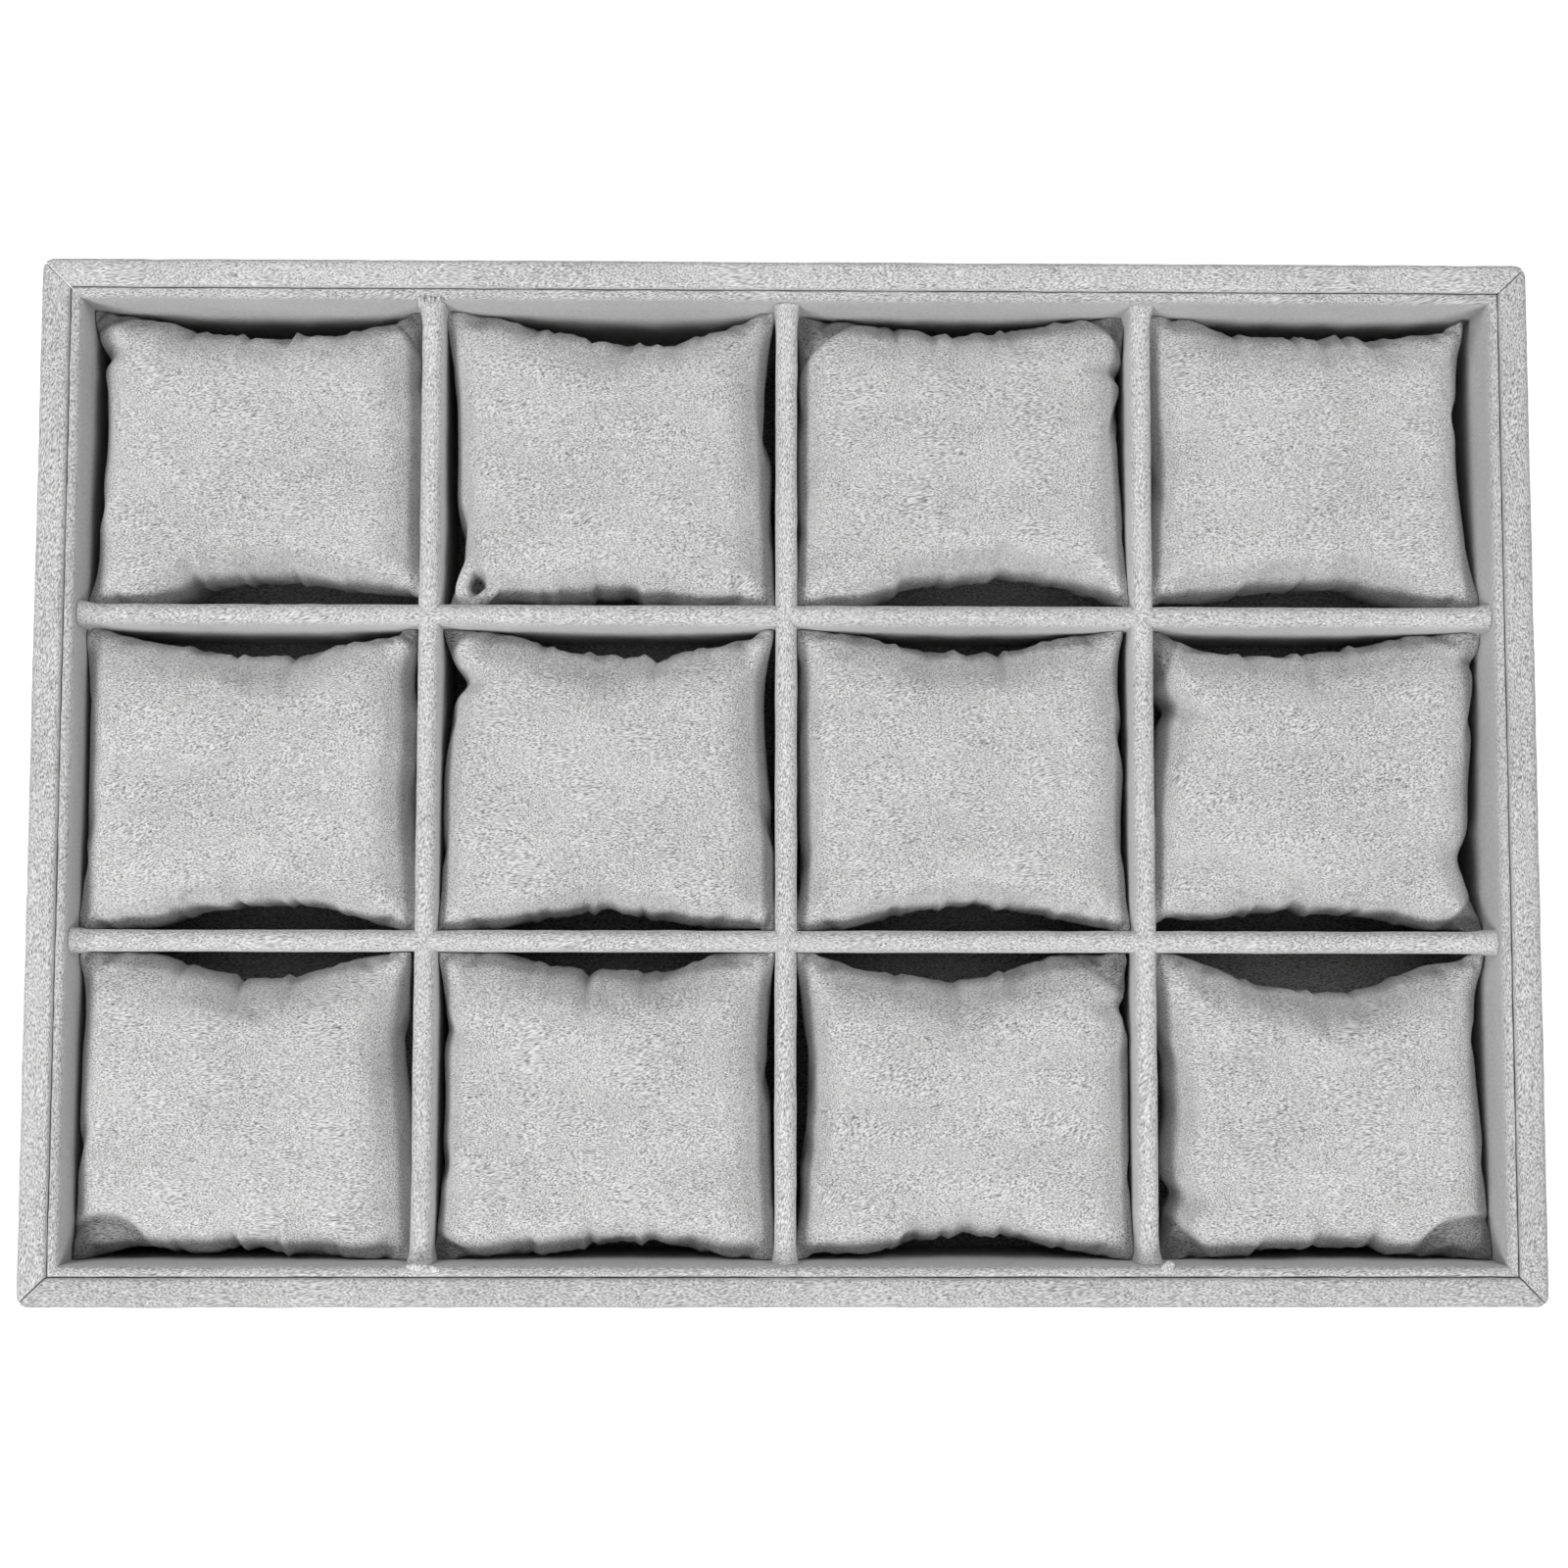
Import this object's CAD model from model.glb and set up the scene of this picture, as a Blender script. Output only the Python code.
import math

import bmesh
import bpy
import numpy as np
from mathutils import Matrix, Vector, noise


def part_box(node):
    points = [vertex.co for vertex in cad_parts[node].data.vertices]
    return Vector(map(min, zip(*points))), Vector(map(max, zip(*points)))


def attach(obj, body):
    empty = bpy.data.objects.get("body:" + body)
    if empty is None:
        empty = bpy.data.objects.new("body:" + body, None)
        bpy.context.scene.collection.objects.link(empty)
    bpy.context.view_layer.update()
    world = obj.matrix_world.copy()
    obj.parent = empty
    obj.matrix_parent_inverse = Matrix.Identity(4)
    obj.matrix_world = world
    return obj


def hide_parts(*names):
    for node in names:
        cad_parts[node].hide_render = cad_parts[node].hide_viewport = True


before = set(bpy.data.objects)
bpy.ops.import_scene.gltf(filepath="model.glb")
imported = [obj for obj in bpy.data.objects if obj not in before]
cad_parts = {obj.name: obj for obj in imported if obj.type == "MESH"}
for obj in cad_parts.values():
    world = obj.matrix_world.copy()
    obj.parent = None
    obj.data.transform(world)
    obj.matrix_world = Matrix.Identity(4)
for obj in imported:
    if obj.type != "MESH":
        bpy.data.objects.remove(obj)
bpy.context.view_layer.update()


# Bottom cover
# A thin dark felt sheet that keeps the tray from scratching a counter. It is glued under the base board,
# a little inside the walls. The CAD sheet is shown as it is, with a pressed felt finish.

FELT_DARK = (0.105, 0.105, 0.108, 1.0)
FELT_LIGHT = (0.185, 0.185, 0.188, 1.0)
FELT_FIBRE = 0.0009


def new_finish(name, roughness, sheen, specular):
    """A material with its Principled shader's even values set, and the tools to wire more nodes to it."""
    finish = bpy.data.materials.new(name)
    finish.use_nodes = True
    shader = finish.node_tree.nodes["Principled BSDF"]
    shader.inputs["Roughness"].default_value = roughness
    shader.inputs["Sheen Weight"].default_value = sheen
    shader.inputs["Sheen Roughness"].default_value = 0.6
    shader.inputs["Specular IOR Level"].default_value = specular
    return finish, finish.node_tree.nodes, finish.node_tree.links, shader


def give_finish(piece, finish):
    """Puts one finish on the whole of a piece or a CAD node."""
    piece.data.materials.clear()
    piece.data.materials.append(finish)


def felt_finish():
    finish, nodes, links, shader = new_finish("pressed felt", 1.0, 0.2, 0.1)
    place = nodes.new("ShaderNodeTexCoord")
    fibres = nodes.new("ShaderNodeTexNoise")
    fibres.inputs["Scale"].default_value = 1 / FELT_FIBRE
    fibres.inputs["Detail"].default_value = 4
    fibres.inputs["Roughness"].default_value = 0.7
    fibres.inputs["Distortion"].default_value = 1.5
    links.new(place.outputs["Object"], fibres.inputs["Vector"])
    shade = nodes.new("ShaderNodeMix")
    shade.data_type = "RGBA"
    shade.inputs["A"].default_value = FELT_DARK
    shade.inputs["B"].default_value = FELT_LIGHT
    links.new(fibres.outputs["Fac"], shade.inputs["Factor"])
    links.new(shade.outputs["Result"], shader.inputs["Base Color"])
    raised = nodes.new("ShaderNodeBump")
    raised.inputs["Strength"].default_value = 0.5
    raised.inputs["Distance"].default_value = 0.0003
    links.new(fibres.outputs["Fac"], raised.inputs["Height"])
    links.new(raised.outputs["Normal"], shader.inputs["Normal"])
    return finish


give_finish(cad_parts["bottom_cover"], felt_finish())


# Base board
# A hardboard panel that closes the tray from below. The walls are glued round its edge. It is pressed wood
# fibre, so it is brown with darker flecks.

BOARD_BROWN = (0.235, 0.140, 0.078, 1.0)
BOARD_FLECK = (0.105, 0.060, 0.033, 1.0)
FLECK_SIZE = 0.0012


def hardboard_finish():
    finish, nodes, links, shader = new_finish("hardboard", 0.75, 0.0, 0.3)
    place = nodes.new("ShaderNodeTexCoord")
    flecks = nodes.new("ShaderNodeTexNoise")
    flecks.inputs["Scale"].default_value = 1 / FLECK_SIZE
    flecks.inputs["Detail"].default_value = 3
    flecks.inputs["Distortion"].default_value = 0.8
    links.new(place.outputs["Object"], flecks.inputs["Vector"])
    shade = nodes.new("ShaderNodeMix")
    shade.data_type = "RGBA"
    shade.inputs["A"].default_value = BOARD_FLECK
    shade.inputs["B"].default_value = BOARD_BROWN
    links.new(flecks.outputs["Fac"], shade.inputs["Factor"])
    links.new(shade.outputs["Result"], shader.inputs["Base Color"])
    raised = nodes.new("ShaderNodeBump")
    raised.inputs["Strength"].default_value = 0.3
    raised.inputs["Distance"].default_value = 0.0002
    links.new(flecks.outputs["Fac"], raised.inputs["Height"])
    links.new(raised.outputs["Normal"], shader.inputs["Normal"])
    return finish


give_finish(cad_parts["base_board"], hardboard_finish())


# Floor lining
# A sheet of the same grey microsuede as the rest, glued on the base board. It shows only in the narrow gaps
# between the pillows and the dividers, so it is the CAD sheet with the suede finish.

SUEDE_LIGHT = (0.76, 0.76, 0.76, 1.0)
SUEDE_DARK = (0.10, 0.10, 0.10, 1.0)
NAP_TUFT = 0.00028
NAP_WANDER = 0.005
WANDER_SIZE = 0.007
BRUSHED_PATCH = 0.014
PRESSED_SHARE = 0.30


def nap_node(nodes, links, place, size, detail):
    """One layer of the nap's pattern, as a noise of the given size."""
    layer = nodes.new("ShaderNodeTexNoise")
    layer.inputs["Scale"].default_value = 1 / size
    layer.inputs["Detail"].default_value = detail
    layer.inputs["Roughness"].default_value = 0.6
    links.new(place, layer.inputs["Vector"])
    return layer


def sum_node(nodes, links, first, second, how, value=None):
    """A maths node on two sockets, or on a socket and a value."""
    made = nodes.new("ShaderNodeMath")
    made.operation = how
    links.new(first, made.inputs[0])
    if value is None:
        links.new(second, made.inputs[1])
    else:
        made.inputs[1].default_value = value
    return made.outputs[0]


def suede_nap():
    """The brushed nap of microsuede: rows of fine tufts that wander, and broader strokes left by a hand."""
    group = bpy.data.node_groups.new("suede nap", "ShaderNodeTree")
    face = group.interface
    face.new_socket(name="Place", in_out="INPUT", socket_type="NodeSocketVector")
    face.new_socket(name="Light", in_out="INPUT", socket_type="NodeSocketColor")
    face.new_socket(name="Dark", in_out="INPUT", socket_type="NodeSocketColor")
    face.new_socket(name="Contrast", in_out="INPUT", socket_type="NodeSocketFloat")
    face.new_socket(name="Brushing", in_out="INPUT", socket_type="NodeSocketFloat")
    face.new_socket(name="Raised", in_out="INPUT", socket_type="NodeSocketFloat")
    face.new_socket(name="Colour", in_out="OUTPUT", socket_type="NodeSocketColor")
    face.new_socket(name="Height", in_out="OUTPUT", socket_type="NodeSocketFloat")
    nodes = group.nodes
    links = group.links
    given = nodes.new("NodeGroupInput")
    made = nodes.new("NodeGroupOutput")

    wander = nodes.new("ShaderNodeTexNoise")
    wander.inputs["Scale"].default_value = 1 / WANDER_SIZE
    wander.inputs["Detail"].default_value = 0
    links.new(given.outputs["Place"], wander.inputs["Vector"])
    amount = sum_node(nodes, links, wander.outputs["Fac"], None, "MULTIPLY", NAP_WANDER)
    shift = nodes.new("ShaderNodeVectorMath")
    shift.operation = "SCALE"
    shift.inputs[0].default_value = (1.0, 0.8, 0.6)
    links.new(amount, shift.inputs["Scale"])
    moved = nodes.new("ShaderNodeVectorMath")
    moved.operation = "ADD"
    links.new(given.outputs["Place"], moved.inputs[0])
    links.new(shift.outputs["Vector"], moved.inputs[1])
    place = moved.outputs["Vector"]

    tufts = nap_node(nodes, links, place, NAP_TUFT, 0)
    strokes = nap_node(nodes, links, given.outputs["Place"], BRUSHED_PATCH, 2)
    height = tufts.outputs["Fac"]
    centre = sum_node(nodes, links, height, None, "SUBTRACT", 0.5)
    stretched = sum_node(nodes, links, centre, given.outputs["Contrast"], "MULTIPLY")
    weighed = sum_node(nodes, links, stretched, given.outputs["Raised"], "MULTIPLY")
    stroke_centre = sum_node(nodes, links, strokes.outputs["Fac"], None, "SUBTRACT", 0.5)
    stroke = sum_node(nodes, links, stroke_centre, given.outputs["Brushing"], "MULTIPLY")
    both = sum_node(nodes, links, weighed, stroke, "ADD")
    level = sum_node(nodes, links, both, None, "ADD", 0.66)
    clamp = nodes.new("ShaderNodeClamp")
    links.new(level, clamp.inputs["Value"])
    shade = nodes.new("ShaderNodeMix")
    shade.data_type = "RGBA"
    links.new(clamp.outputs["Result"], shade.inputs["Factor"])
    links.new(given.outputs["Dark"], shade.inputs["A"])
    links.new(given.outputs["Light"], shade.inputs["B"])
    links.new(shade.outputs["Result"], made.inputs["Colour"])
    raised = sum_node(nodes, links, height, given.outputs["Raised"], "MULTIPLY")
    links.new(raised, made.inputs["Height"])
    return group


SUEDE_NAP = suede_nap()


def suede_finish(name, grain, tint, contrast, brushing, relief, turn=0.0, pressed=PRESSED_SHARE):
    """Grey microsuede whose nap runs along X, or turned from it. Its upright faces are pressed smoother."""
    finish, nodes, links, shader = new_finish(name, 0.95, 0.12, 0.15)
    place = nodes.new("ShaderNodeTexCoord")
    lie = nodes.new("ShaderNodeMapping")
    lie.inputs["Rotation"].default_value = (0, 0, turn)
    lie.inputs["Scale"].default_value = grain
    links.new(place.outputs["Object"], lie.inputs["Vector"])
    facing = nodes.new("ShaderNodeNewGeometry")
    parts = nodes.new("ShaderNodeSeparateXYZ")
    links.new(facing.outputs["Normal"], parts.inputs["Vector"])
    raised = nodes.new("ShaderNodeMapRange")
    raised.inputs["From Min"].default_value = 0.15
    raised.inputs["From Max"].default_value = 0.75
    raised.inputs["To Min"].default_value = pressed
    raised.inputs["To Max"].default_value = 1.0
    links.new(parts.outputs["Z"], raised.inputs["Value"])
    nap = nodes.new("ShaderNodeGroup")
    nap.node_tree = SUEDE_NAP
    nap.inputs["Light"].default_value = tuple(tint * part for part in SUEDE_LIGHT[:3]) + (1.0,)
    nap.inputs["Dark"].default_value = tuple(tint * part for part in SUEDE_DARK[:3]) + (1.0,)
    nap.inputs["Contrast"].default_value = contrast
    nap.inputs["Brushing"].default_value = brushing
    links.new(lie.outputs["Vector"], nap.inputs["Place"])
    links.new(raised.outputs["Result"], nap.inputs["Raised"])
    links.new(nap.outputs["Colour"], shader.inputs["Base Color"])
    bump = nodes.new("ShaderNodeBump")
    bump.inputs["Strength"].default_value = relief
    bump.inputs["Distance"].default_value = 0.0002
    links.new(nap.outputs["Height"], bump.inputs["Height"])
    links.new(bump.outputs["Normal"], shader.inputs["Normal"])
    return finish


ALONG_X = (0.42, 1.0, 1.0)
ALONG_Y = (1.0, 0.42, 1.0)

give_finish(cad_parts["floor_lining"], suede_finish("floor suede", ALONG_X, 1.0, 1.3, 0.3, 0.4))


# Outer walls
# Four boards wrapped in suede, mitred and glued at the corners. The cloth pads their edges round, wanders a
# little from straight, and its cut edges make a fine seam that bows across each mitre.

WALL_THICKNESS = 0.0068
WALL_LENGTHS = {"front": 0.350, "right": 0.2435, "back": 0.350, "left": 0.2435}
WALL_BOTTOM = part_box("front_wall")[0].z
WALL_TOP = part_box("front_wall")[1].z
WALL_CORNER = 0.003
WALL_OUTER_ROUNDING = 0.0019
WALL_INNER_ROUNDING = 0.0010
MITRE_GAP = 0.00028
WALL_WAVINESS = 0.00025
WAVE_LENGTH = 0.011
WALL_FUZZ = 0.00022
FUZZ_LENGTH = 0.0019
WALL_SEGMENT = 0.0011
BOW_REACH = 0.02
MITRE_BOWS = {"left back": 0.0006, "right back": 0.0004, "left front": 0.0003, "right front": -0.0003}


def deselect_all():
    for thing in bpy.context.selected_objects:
        thing.select_set(False)


def start_board(name, low, high):
    """A plain board between two corners, which is then shaped."""
    deselect_all()
    middle = [(a + b) / 2 for a, b in zip(low, high)]
    sides = [b - a for a, b in zip(low, high)]
    bpy.ops.mesh.primitive_cube_add(size=1, location=middle, scale=sides)
    board = bpy.context.object
    board.name = name
    board.data.name = name
    bpy.ops.object.transform_apply(location=True, rotation=True, scale=True)
    return board


def select_edges(board, wanted):
    """In edit mode, selects the edges that pass a test on their two ends, and no others."""
    bpy.ops.mesh.select_mode(type="EDGE")
    bpy.ops.mesh.select_all(action="DESELECT")
    shape = bmesh.from_edit_mesh(board.data)
    for edge in shape.edges:
        edge.select_set(bool(wanted(edge.verts[0].co, edge.verts[1].co)))
    bmesh.update_edit_mesh(board.data)


def round_selected(radius, segments):
    bpy.ops.mesh.bevel(offset=radius, offset_type="OFFSET", segments=segments, profile=0.5, affect="EDGES")


def cut_end(point, outward):
    """In edit mode, saws an end off at a plane and closes the cut."""
    bpy.ops.mesh.select_all(action="SELECT")
    bpy.ops.mesh.bisect(plane_co=point, plane_no=outward, use_fill=True, clear_outer=True)


def divide_length(board, segment, longer_than=0.02):
    """In edit mode, divides a board's long edges evenly, so that it can wander."""
    shape = bmesh.from_edit_mesh(board.data)
    longest = max(edge.calc_length() for edge in shape.edges)
    select_edges(board, lambda a, b: abs(a.x - b.x) > longer_than)
    bpy.ops.mesh.subdivide(number_cuts=max(1, round(longest / segment)))


def wrapped_board(name, length, thickness, bottom, top, corner, outer_rounding, inner_rounding, mitre_gap):
    """A suede-wrapped board along X with its outer face at y = 0 and its ends mitred."""
    board = start_board(name, (-length / 2, 0, bottom), (length / 2, thickness, top))
    bpy.ops.object.mode_set(mode="EDIT")
    outer = thickness * 0.01
    if corner:
        select_edges(board, lambda a, b: a.y < outer and b.y < outer and abs(a.z - b.z) > thickness)
        round_selected(corner, 6)
    inner = thickness * 0.99
    high = (bottom + top) / 2
    select_edges(board, lambda a, b: a.z > high and b.z > high and min(a.y, b.y) < inner)
    round_selected(outer_rounding, 5)
    near_top = top - outer_rounding / 4
    select_edges(board, lambda a, b: min(a.z, b.z) > near_top and min(a.y, b.y) > inner)
    round_selected(inner_rounding, 4)
    setback = mitre_gap / 2 * math.sqrt(2)
    cut_end((length / 2 - setback, 0, 0), (1, 1, 0))
    cut_end((-length / 2 + setback, 0, 0), (-1, 1, 0))
    divide_length(board, WALL_SEGMENT)
    bpy.ops.object.mode_set(mode="OBJECT")
    return board


def wander(board, amount, size, seed):
    """Pads the cloth unevenly, by a soft random swelling of the surface."""
    texture = bpy.data.textures.new(f"{board.name} padding", "CLOUDS")
    texture.noise_scale = size
    texture.noise_depth = 1
    place = bpy.data.objects.new(f"{board.name} padding", None)
    bpy.context.scene.collection.objects.link(place)
    place.location = (seed * 0.37, seed * 0.21, seed * 0.13)
    bpy.context.view_layer.update()
    padding = board.modifiers.new("padding", "DISPLACE")
    padding.texture = texture
    padding.texture_coords = "OBJECT"
    padding.texture_coords_object = place
    padding.strength = amount
    padding.mid_level = 0.5
    bpy.context.view_layer.objects.active = board
    bpy.ops.object.modifier_apply(modifier="padding")
    bpy.data.objects.remove(place)
    bpy.data.textures.remove(texture)


def smooth_faces(board, angle):
    deselect_all()
    board.select_set(True)
    bpy.context.view_layer.objects.active = board
    bpy.ops.object.shade_smooth_by_angle(angle=angle)


def bow_ends(board, length, thickness, left_bow, right_bow):
    """Bends each mitred end, so that the seam runs in a shallow curve from corner to corner."""
    for vert in board.data.vertices:
        side = 1 if vert.co.x > 0 else -1
        bow = right_bow if side > 0 else left_bow
        across = min(max(vert.co.y / thickness, 0), 1)
        from_end = max(0.0, length / 2 - vert.co.y - abs(vert.co.x))
        fade = max(0.0, 1 - from_end / BOW_REACH)
        vert.co.x += side * bow * math.sin(math.pi * across) * fade


def stand_in_place(board, x, y, turn):
    """Turns a board about the middle of the tray's floor and moves it to its side."""
    deselect_all()
    board.select_set(True)
    bpy.context.view_layer.objects.active = board
    board.rotation_euler = (0, 0, turn)
    board.location = (x, y, 0)
    bpy.ops.object.transform_apply(location=True, rotation=True, scale=True)


def copy_of(board, name):
    """A second piece like a finished one, with its own mesh."""
    deselect_all()
    board.select_set(True)
    bpy.context.view_layer.objects.active = board
    bpy.ops.object.duplicate(linked=False)
    twin = bpy.context.object
    twin.name = name
    twin.data.name = name
    return twin


WALL_SUEDES = {
    "front": suede_finish("near wall suede", ALONG_X, 0.94, 1.5, 0.25, 0.5, 0.35),
    "right": suede_finish("right wall suede", ALONG_Y, 0.97, 1.5, 0.25, 0.5, 0.12),
    "back": suede_finish("far wall suede", ALONG_X, 1.09, 1.5, 0.25, 0.5, 0.35),
    "left": suede_finish("left wall suede", ALONG_Y, 1.01, 1.5, 0.25, 0.5, -0.12),
}

SIDES = {
    "front": (0, -WALL_LENGTHS["right"] / 2, 0.0, "left front", "right front"),
    "right": (WALL_LENGTHS["front"] / 2, 0, math.pi / 2, "right front", "right back"),
    "back": (0, WALL_LENGTHS["right"] / 2, math.pi, "right back", "left back"),
    "left": (-WALL_LENGTHS["front"] / 2, 0, -math.pi / 2, "left back", "left front"),
}

long_wall = wrapped_board(
    "wrapped_front_wall",
    WALL_LENGTHS["front"],
    WALL_THICKNESS,
    WALL_BOTTOM,
    WALL_TOP,
    WALL_CORNER,
    WALL_OUTER_ROUNDING,
    WALL_INNER_ROUNDING,
    MITRE_GAP,
)
short_wall = wrapped_board(
    "wrapped_right_wall",
    WALL_LENGTHS["right"],
    WALL_THICKNESS,
    WALL_BOTTOM,
    WALL_TOP,
    WALL_CORNER,
    WALL_OUTER_ROUNDING,
    WALL_INNER_ROUNDING,
    MITRE_GAP,
)
walls = {
    "front": long_wall,
    "right": short_wall,
    "back": copy_of(long_wall, "wrapped_back_wall"),
    "left": copy_of(short_wall, "wrapped_left_wall"),
}
for number, (side, wall) in enumerate(walls.items()):
    x, y, turn, left_corner, right_corner = SIDES[side]
    lengthwise = side in ("front", "back")
    bow_sign = 1 if lengthwise else -1
    bow_ends(
        wall,
        WALL_LENGTHS[side],
        WALL_THICKNESS,
        bow_sign * MITRE_BOWS[left_corner],
        bow_sign * MITRE_BOWS[right_corner],
    )
    stand_in_place(wall, x, y, turn)
    wander(wall, WALL_WAVINESS, WAVE_LENGTH, number + 1)
    wander(wall, WALL_FUZZ, FUZZ_LENGTH, number + 21)
    smooth_faces(wall, math.radians(50))
    give_finish(wall, WALL_SUEDES[side])
    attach(wall, "root")
    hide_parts(f"{side}_wall")


# Wall liners
# Four thinner strips of card wrapped in the same suede. They stand against the insides of the walls, a little
# below the rim, and the cloth folds softly round each inner corner.

LINER_THICKNESS = 0.0024
LINER_OUTER_ROUNDING = 0.0005
LINER_INNER_ROUNDING = 0.0017
LINER_LENGTHS = {"front": 0.3358, "right": 0.2293, "back": 0.3358, "left": 0.2293}
LINER_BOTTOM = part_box("front_liner")[0].z
LINER_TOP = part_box("front_liner")[1].z
LINER_WAVINESS = 0.00022

LINER_SUEDE_X = suede_finish("liner suede lengthwise", ALONG_X, 0.97, 1.45, 0.2, 0.4, 0.2)
LINER_SUEDE_Y = suede_finish("liner suede crosswise", ALONG_Y, 0.95, 1.45, 0.2, 0.4, 0.1)

long_liner = wrapped_board(
    "wrapped_front_liner",
    LINER_LENGTHS["front"],
    LINER_THICKNESS,
    LINER_BOTTOM,
    LINER_TOP,
    0,
    LINER_OUTER_ROUNDING,
    LINER_INNER_ROUNDING,
    0,
)
short_liner = wrapped_board(
    "wrapped_right_liner",
    LINER_LENGTHS["right"],
    LINER_THICKNESS,
    LINER_BOTTOM,
    LINER_TOP,
    0,
    LINER_OUTER_ROUNDING,
    LINER_INNER_ROUNDING,
    0,
)
liners = {
    "front": long_liner,
    "right": short_liner,
    "back": copy_of(long_liner, "wrapped_back_liner"),
    "left": copy_of(short_liner, "wrapped_left_liner"),
}
for number, (side, liner) in enumerate(liners.items()):
    x, y, turn, left_corner, right_corner = SIDES[side]
    inset = (WALL_LENGTHS["front"] - LINER_LENGTHS["front"]) / 2
    x -= math.copysign(inset, x) * (x != 0)
    y -= math.copysign(inset, y) * (y != 0)
    stand_in_place(liner, x, y, turn)
    wander(liner, LINER_WAVINESS, WAVE_LENGTH, number + 5)
    wander(liner, WALL_FUZZ, FUZZ_LENGTH, number + 25)
    smooth_faces(liner, math.radians(50))
    give_finish(liner, LINER_SUEDE_X if side in ("front", "back") else LINER_SUEDE_Y)
    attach(liner, "root")
    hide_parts(f"{side}_liner")


# Dividers
# Five strips of thick card wrapped in suede: two run the length of the tray and three cross them. They lap
# into each other by slots, and the cloth is padded round over the top, so that the crossings look soft.

DIVIDER_THICKNESS = 0.005
DIVIDER_ROUNDING = 0.0024
DIVIDER_WAVINESS = 0.0003
LAP_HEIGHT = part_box("floor_lining")[1].z + 0.0178
END_FLARE = 0.22
END_RISE = 0.0028
FLARE_REACH = 0.0045
END_REACH = 0.0002
COLUMN_LINES = (-0.084, 0.0, 0.084)
LONG_LINES = (-0.03825, 0.03825)
TUCKS = {
    1: ((-0.0826, -0.1127, 0.0444), (0.0040, 0.0010, 0.0005), -0.12),
    3: ((0.0873, -0.1125, 0.0441), (0.0017, 0.0013, 0.0006), 0.6),
}
FRAYED_DIVIDER = 1
TOOTH_COUNT = 7
TOOTH_SPACING = 0.0008
TOOTH_LENGTH = 0.0022
TOOTH_THICKNESS = 0.0007
TOOTH_HEIGHT = 0.0443


def wrapped_divider(name, length, bottom, top):
    """A strip along X, with its top edge padded round."""
    half = DIVIDER_THICKNESS / 2
    strip = start_board(name, (-length / 2, -half, bottom), (length / 2, half, top))
    bpy.ops.object.mode_set(mode="EDIT")
    middle = (bottom + top) / 2
    select_edges(strip, lambda a, b: min(a.z, b.z) > middle and abs(a.x - b.x) > half)
    round_selected(DIVIDER_ROUNDING, 7)
    divide_length(strip, WALL_SEGMENT)
    bpy.ops.object.mode_set(mode="OBJECT")
    flare_ends(strip, length, top)
    return strip


def flare_ends(strip, length, top):
    """Widens and lifts the ends, where the wrap is drawn up against the liners."""
    for vert in strip.data.vertices:
        fade = min(max(1 - (length / 2 - abs(vert.co.x)) / FLARE_REACH, 0), 1) ** 2
        vert.co.x *= 1 + fade * END_REACH / (length / 2)
        vert.co.y *= 1 + END_FLARE * fade
        if vert.co.z > top - DIVIDER_ROUNDING * 1.5:
            vert.co.z += END_RISE * fade


def join_to(piece, bits):
    """Joins small bits of cloth to the piece that they belong to."""
    deselect_all()
    for bit in bits:
        bit.select_set(True)
    piece.select_set(True)
    bpy.context.view_layer.objects.active = piece
    bpy.ops.object.join()


def tuck_of_cloth(place, half_sizes, turn):
    """A flat tuck where the end of the wrap is pushed in behind the liner."""
    deselect_all()
    bpy.ops.mesh.primitive_ico_sphere_add(
        subdivisions=3,
        radius=1,
        location=place,
        rotation=(0, 0, turn),
        scale=half_sizes,
    )
    tuck = bpy.context.object
    tuck.name = "tuck"
    bpy.ops.object.transform_apply(location=True, rotation=True, scale=True)
    wander(tuck, half_sizes[2], FUZZ_LENGTH, 3)
    return tuck


def frayed_tooth(x, y, uneven):
    """One tooth of the frayed end of a wrap."""
    deselect_all()
    length = TOOTH_LENGTH * (1 + 0.3 * uneven)
    tilt = math.radians(100 + 8 * uneven)
    radius = TOOTH_THICKNESS / 2
    place = (x, y, TOOTH_HEIGHT)
    bpy.ops.mesh.primitive_cone_add(
        vertices=7,
        radius1=radius,
        radius2=radius / 3,
        depth=length,
        location=place,
        rotation=(tilt, 0, 0.2 * uneven),
    )
    tooth = bpy.context.object
    tooth.name = "tooth"
    bpy.ops.object.transform_apply(location=True, rotation=True, scale=True)
    return tooth


def cut_with(piece, cutter, keep_cutter):
    """Takes one piece's shape out of another's."""
    deselect_all()
    bpy.context.view_layer.objects.active = piece
    cut = piece.modifiers.new("lap", "BOOLEAN")
    cut.operation = "DIFFERENCE"
    cut.solver = "EXACT"
    cut.object = cutter
    bpy.ops.object.modifier_apply(modifier="lap")
    if not keep_cutter:
        bpy.data.objects.remove(cutter)


DIVIDER_SUEDE_X = suede_finish("divider suede lengthwise", ALONG_X, 1.07, 1.45, 0.2, 0.4, 0.25)
DIVIDER_SUEDE_Y = suede_finish("divider suede crosswise", ALONG_Y, 1.08, 1.45, 0.2, 0.4, 0.15)

low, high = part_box("long_divider_1")
long_strip = wrapped_divider("wrapped_long_divider_1", high.x - low.x, low.z, high.z)
for number, x in enumerate(COLUMN_LINES, 1):
    half_slot = DIVIDER_THICKNESS / 2 + 0.0001
    slot = start_board("lap slot", (x - half_slot, -0.006, low.z - 0.005), (x + half_slot, 0.006, LAP_HEIGHT))
    cut_with(long_strip, slot, False)
low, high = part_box("short_divider_1")
short_strip = wrapped_divider("wrapped_short_divider_1", high.y - low.y, low.z, high.z)

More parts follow.
